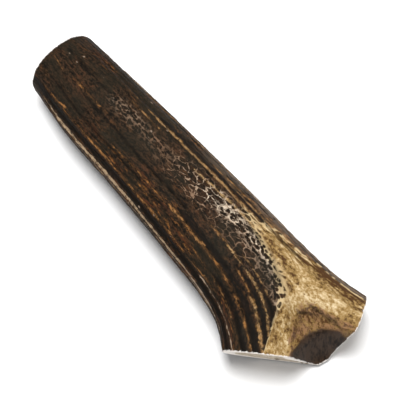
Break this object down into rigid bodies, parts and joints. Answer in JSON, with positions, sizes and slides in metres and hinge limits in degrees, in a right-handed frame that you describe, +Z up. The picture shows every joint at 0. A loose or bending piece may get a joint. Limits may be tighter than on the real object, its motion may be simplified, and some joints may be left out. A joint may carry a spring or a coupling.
{
  "type": "deer antler",
  "caption": "Sawn length of natural deer antler: a ridged, pearled dark brown beam with the stump of its fork, lying on its side.",
  "frame": {"origin": "on the ground, in the middle of the bounding box of the antler as it lies", "axes": "+X runs along the beam from the thin sawn end to the fork, +Z is up from the ground, +Y is the side of the narrower branch stump"},
  "size_m": [0.1692, 0.0584, 0.0375],
  "materials": {
    "antler": "natural antler: dark brown ridged and pearled skin rubbed to tan and ivory on the crests, ivory bone on the saw cuts"
  },
  "bodies": {
    "root": {"antler": "antler"}
  },
  "joints": []
}
